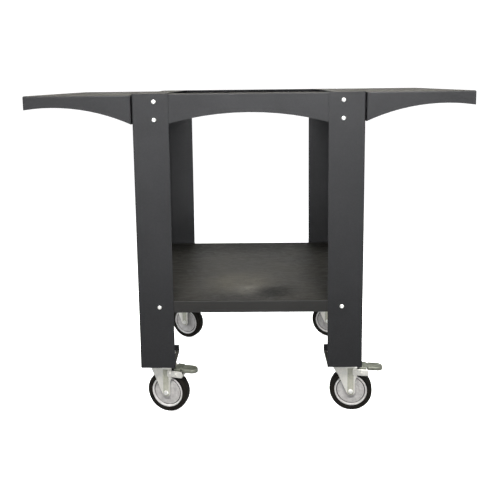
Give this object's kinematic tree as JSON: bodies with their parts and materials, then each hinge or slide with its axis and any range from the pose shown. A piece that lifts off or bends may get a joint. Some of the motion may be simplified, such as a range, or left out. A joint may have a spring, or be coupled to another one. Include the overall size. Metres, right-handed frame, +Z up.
{
  "type": "pizza oven stand",
  "caption": "Wheeled folded-steel stand for a wood fired pizza oven, with an open top frame, arched fixed side shelves, a lower shelf, swivel castors and pedal brakes.",
  "frame": {"origin": "on the floor, under the middle of the stand", "axes": "+X to the right as seen from the front, +Y to the back, +Z up"},
  "size_m": [1.241, 0.6576, 0.94],
  "materials": {
    "powder_coat": "charcoal grey powder coat, satin with a fine orange peel",
    "zinc": "bright zinc plate",
    "pedal_steel": "dull zinc plate",
    "wheel_grey": "light grey moulded nylon",
    "tyre_rubber": "matt black rubber"
  },
  "bodies": {
    "stand": {"front_apron": "powder_coat", "rear_apron": "powder_coat", "side_rail_left": "powder_coat", "side_rail_right": "powder_coat", "lower_shelf": "powder_coat", "side_shelf_left": "powder_coat", "side_shelf_right": "powder_coat", "leg_front_left": "powder_coat", "foot_plate_front_left": "powder_coat", "bolt_front_left_top": "zinc", "bolt_front_left_middle": "zinc", "bolt_front_left_shelf": "zinc", "castor_front_left_plate": "zinc", "castor_front_left_kingpin": "zinc", "leg_front_right": "powder_coat", "foot_plate_front_right": "powder_coat", "bolt_front_right_top": "zinc", "bolt_front_right_middle": "zinc", "bolt_front_right_shelf": "zinc", "castor_front_right_plate": "zinc", "castor_front_right_kingpin": "zinc", "leg_rear_left": "powder_coat", "foot_plate_rear_left": "powder_coat", "bolt_rear_left_top": "zinc", "bolt_rear_left_middle": "zinc", "bolt_rear_left_shelf": "zinc", "castor_rear_left_plate": "zinc", "castor_rear_left_kingpin": "zinc", "leg_rear_right": "powder_coat", "foot_plate_rear_right": "powder_coat", "bolt_rear_right_top": "zinc", "bolt_rear_right_middle": "zinc", "bolt_rear_right_shelf": "zinc", "castor_rear_right_plate": "zinc", "castor_rear_right_kingpin": "zinc"},
    "castor_front_left_swivel": {"castor_front_left_ball_ring": "zinc", "castor_front_left_fork": "zinc", "castor_front_left_axle": "zinc", "castor_front_left_brake_bracket": "zinc"},
    "castor_front_left_wheel": {"castor_front_left_wheel_centre": "wheel_grey", "castor_front_left_tyre": "tyre_rubber"},
    "castor_front_left_pedal": {"castor_front_left_brake_pedal": "pedal_steel"},
    "castor_front_right_swivel": {"castor_front_right_ball_ring": "zinc", "castor_front_right_fork": "zinc", "castor_front_right_axle": "zinc", "castor_front_right_brake_bracket": "zinc"},
    "castor_front_right_wheel": {"castor_front_right_wheel_centre": "wheel_grey", "castor_front_right_tyre": "tyre_rubber"},
    "castor_front_right_pedal": {"castor_front_right_brake_pedal": "pedal_steel"},
    "castor_rear_left_swivel": {"castor_rear_left_ball_ring": "zinc", "castor_rear_left_fork": "zinc", "castor_rear_left_axle": "zinc"},
    "castor_rear_left_wheel": {"castor_rear_left_wheel_centre": "wheel_grey", "castor_rear_left_tyre": "tyre_rubber"},
    "castor_rear_right_swivel": {"castor_rear_right_ball_ring": "zinc", "castor_rear_right_fork": "zinc", "castor_rear_right_axle": "zinc"},
    "castor_rear_right_wheel": {"castor_rear_right_wheel_centre": "wheel_grey", "castor_rear_right_tyre": "tyre_rubber"}
  },
  "joints": [
    {"name": "castor_front_left_swivel", "type": "hinge", "parent": "stand", "child": "castor_front_left_swivel", "pos_m": [-0.27, -0.275, 0.141], "axis": [0, 0, 1], "continuous": true},
    {"name": "castor_front_left_spin", "type": "hinge", "parent": "castor_front_left_swivel", "child": "castor_front_left_wheel", "pos_m": [-0.24591, -0.28168, 0.0625], "axis": [0.2672, 0.9636, 0], "continuous": true},
    {"name": "castor_front_left_pedal", "type": "hinge", "parent": "castor_front_left_swivel", "child": "castor_front_left_pedal", "pos_m": [-0.21555, -0.2901, 0.1225], "axis": [0.2672, 0.9636, 0], "range_deg": [0, 12]},
    {"name": "castor_front_right_swivel", "type": "hinge", "parent": "stand", "child": "castor_front_right_swivel", "pos_m": [0.27, -0.275, 0.141], "axis": [0, 0, 1], "continuous": true},
    {"name": "castor_front_right_spin", "type": "hinge", "parent": "castor_front_right_swivel", "child": "castor_front_right_wheel", "pos_m": [0.29476, -0.27848, 0.0625], "axis": [0.1392, 0.9903, 0], "continuous": true},
    {"name": "castor_front_right_pedal", "type": "hinge", "parent": "castor_front_right_swivel", "child": "castor_front_right_pedal", "pos_m": [0.32595, -0.28286, 0.1225], "axis": [0.1392, 0.9903, 0], "range_deg": [0, 12]},
    {"name": "castor_rear_left_swivel", "type": "hinge", "parent": "stand", "child": "castor_rear_left_swivel", "pos_m": [-0.27, 0.275, 0.141], "axis": [0, 0, 1], "continuous": true},
    {"name": "castor_rear_left_spin", "type": "hinge", "parent": "castor_rear_left_swivel", "child": "castor_rear_left_wheel", "pos_m": [-0.24773, 0.26365, 0.0625], "axis": [0.454, 0.891, 0], "continuous": true},
    {"name": "castor_rear_right_swivel", "type": "hinge", "parent": "stand", "child": "castor_rear_right_swivel", "pos_m": [0.27, 0.275, 0.141], "axis": [0, 0, 1], "continuous": true},
    {"name": "castor_rear_right_spin", "type": "hinge", "parent": "castor_rear_right_swivel", "child": "castor_rear_right_wheel", "pos_m": [0.29349, 0.26645, 0.0625], "axis": [0.342, 0.9397, 0], "continuous": true}
  ]
}
